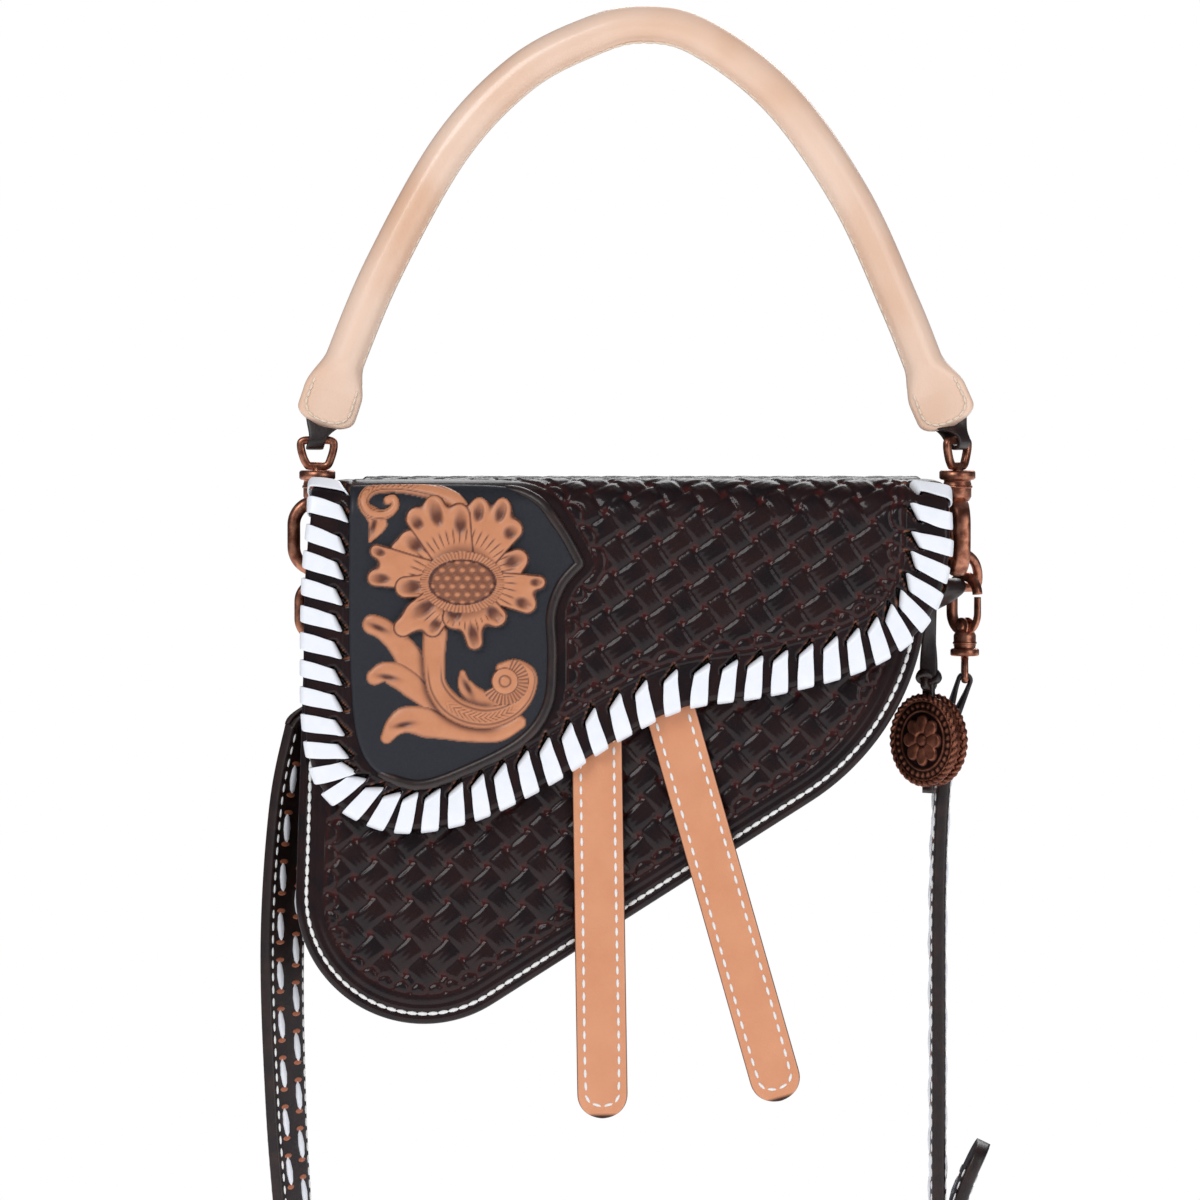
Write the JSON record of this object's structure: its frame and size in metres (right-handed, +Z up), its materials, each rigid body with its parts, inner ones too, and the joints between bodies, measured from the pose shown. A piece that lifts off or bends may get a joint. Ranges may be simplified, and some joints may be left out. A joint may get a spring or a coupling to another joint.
{
  "type": "saddle handbag",
  "caption": "Small western saddle-shaped handbag with a laced tooled flap, carved panel, rolled handle on swivel snaps, hanging straps, charm and adjustable shoulder strap",
  "frame": {"origin": "the hanging point, on the underside of the rolled handle's crown", "axes": "+X to the bag's right seen from the front, +Y to the back, +Z up as it hangs"},
  "size_m": [0.2278, 0.0592, 0.6592],
  "materials": {
    "tooled_leather": "stamped, antiqued and sealed",
    "dark_leather": "oiled, with burnished edges",
    "suede": "soft suede",
    "natural_leather": "vegetable tanned, polished",
    "carved_leather": "carved and antiqued",
    "black_leather": "dyed, matte",
    "white_lace": "flat kangaroo-like lace",
    "rope": "twisted cotton",
    "magnet_steel": "nickel plated",
    "antique_copper": "antique copper plating, worn at the edges"
  },
  "bodies": {
    "handle": {"handle_roll": "natural_leather", "handle_core": "rope", "handle_end_left": "natural_leather", "handle_end_right": "natural_leather", "chape_left": "dark_leather", "chape_right": "dark_leather", "snap_eye_left": "antique_copper", "snap_eye_right": "antique_copper"},
    "bag": {"front_panel": "tooled_leather", "back_panel": "tooled_leather", "gusset": "dark_leather", "lining": "suede", "magnet_socket": "magnet_steel", "dee_tab_left": "dark_leather", "dee_tab_right": "dark_leather", "dee_left": "antique_copper", "dee_right": "antique_copper", "tab_rivets": "antique_copper", "stirrup_rivets": "antique_copper", "flap_tail": "tooled_leather"},
    "flap": {"flap_leather": "tooled_leather", "flap_lining": "suede", "flap_lacing": "white_lace", "carved_panel": "black_leather", "carved_ridge": "dark_leather", "carved_flower": "carved_leather", "magnet_stud": "magnet_steel"},
    "stirrup_left": {"stirrup_strap_left": "natural_leather"},
    "stirrup_right": {"stirrup_strap_right": "natural_leather"},
    "hook_left": {"snap_hook_left": "antique_copper", "gate_rivet_left": "antique_copper"},
    "hook_right": {"snap_hook_right": "antique_copper", "gate_rivet_right": "antique_copper"},
    "gate_left": {"snap_gate_left": "antique_copper"},
    "gate_right": {"snap_gate_right": "antique_copper"},
    "strap": {"strap_eye_left": "antique_copper", "strap_eye_right": "antique_copper", "strap_end_left": "dark_leather", "strap_end_right": "dark_leather", "long_strap": "dark_leather", "buckle_strap": "dark_leather", "buckle_frame": "antique_copper", "buckle_prong": "antique_copper", "strap_keeper": "dark_leather"},
    "strap_hook_left": {"strap_hook_left": "antique_copper", "strap_rivet_left": "antique_copper"},
    "strap_hook_right": {"strap_hook_right": "antique_copper", "strap_rivet_right": "antique_copper"},
    "strap_gate_left": {"strap_gate_left": "antique_copper"},
    "strap_gate_right": {"strap_gate_right": "antique_copper"},
    "charm": {"charm_thong": "dark_leather", "charm_knot": "dark_leather", "concho_front": "antique_copper", "concho_back": "antique_copper"}
  },
  "joints": [
    {"name": "bag_swing", "type": "hinge", "parent": "handle", "child": "bag", "pos_m": [0, 0, -0.16], "axis": [1, 0, 0], "range_deg": [-6, 8]},
    {"name": "flap_open", "type": "hinge", "parent": "bag", "child": "flap", "pos_m": [0, 0.0265, -0.1522], "axis": [1, 0, 0], "range_deg": [-15, 0]},
    {"name": "stirrup_left_swing", "type": "hinge", "parent": "bag", "child": "stirrup_left", "pos_m": [-0.0144, -0.0213, -0.18784], "axis": [0, 1, 0], "range_deg": [-3, 3]},
    {"name": "stirrup_right_swing", "type": "hinge", "parent": "bag", "child": "stirrup_right", "pos_m": [0.0036, -0.0213, -0.18784], "axis": [0, 1, 0], "range_deg": [-3, 3]},
    {"name": "hook_left_swivel", "type": "hinge", "parent": "handle", "child": "hook_left", "pos_m": [-0.1006, 0, -0.1317], "axis": [0, 0, 1], "range_deg": [-8, 8]},
    {"name": "hook_right_swivel", "type": "hinge", "parent": "handle", "child": "hook_right", "pos_m": [0.0977, 0, -0.1317], "axis": [0, 0, 1], "range_deg": [-3, 3]},
    {"name": "gate_left_open", "type": "hinge", "parent": "hook_left", "child": "gate_left", "pos_m": [-0.1006, 0, -0.14324], "axis": [0, 1, 0], "range_deg": [0, 16], "stiffness_Nm_per_rad": 0.004},
    {"name": "gate_right_open", "type": "hinge", "parent": "hook_right", "child": "gate_right", "pos_m": [0.0977, 0, -0.14324], "axis": [-0.9877, -0.1564, 0], "range_deg": [0, 16], "stiffness_Nm_per_rad": 0.004},
    {"name": "strap_swing", "type": "hinge", "parent": "bag", "child": "strap", "pos_m": [0, 0.0074, -0.1692], "axis": [1, 0, 0], "range_deg": [-2, 0.5]},
    {"name": "strap_hook_left_swivel", "type": "hinge", "parent": "strap", "child": "strap_hook_left", "pos_m": [-0.1006, 0.0073, -0.1917], "axis": [0, 0, 1], "range_deg": [-5, 5]},
    {"name": "strap_hook_right_swivel", "type": "hinge", "parent": "strap", "child": "strap_hook_right", "pos_m": [0.10039, 0.00753, -0.1898], "axis": [0, 0, 1], "range_deg": [-5, 5]},
    {"name": "strap_gate_left_open", "type": "hinge", "parent": "strap_hook_left", "child": "strap_gate_left", "pos_m": [-0.1006, 0.0073, -0.18252], "axis": [0, -1, 0], "range_deg": [0, 14], "stiffness_Nm_per_rad": 0.004},
    {"name": "strap_gate_right_open", "type": "hinge", "parent": "strap_hook_right", "child": "strap_gate_right", "pos_m": [0.10039, 0.00753, -0.18061], "axis": [-0.766, -0.6428, 0], "range_deg": [0, 14], "stiffness_Nm_per_rad": 0.004},
    {"name": "charm_swing", "type": "hinge", "parent": "bag", "child": "charm", "pos_m": [0.08883, -0.00218, -0.16833], "axis": [0.766, 0.6428, 0], "range_deg": [-8, 4]}
  ]
}
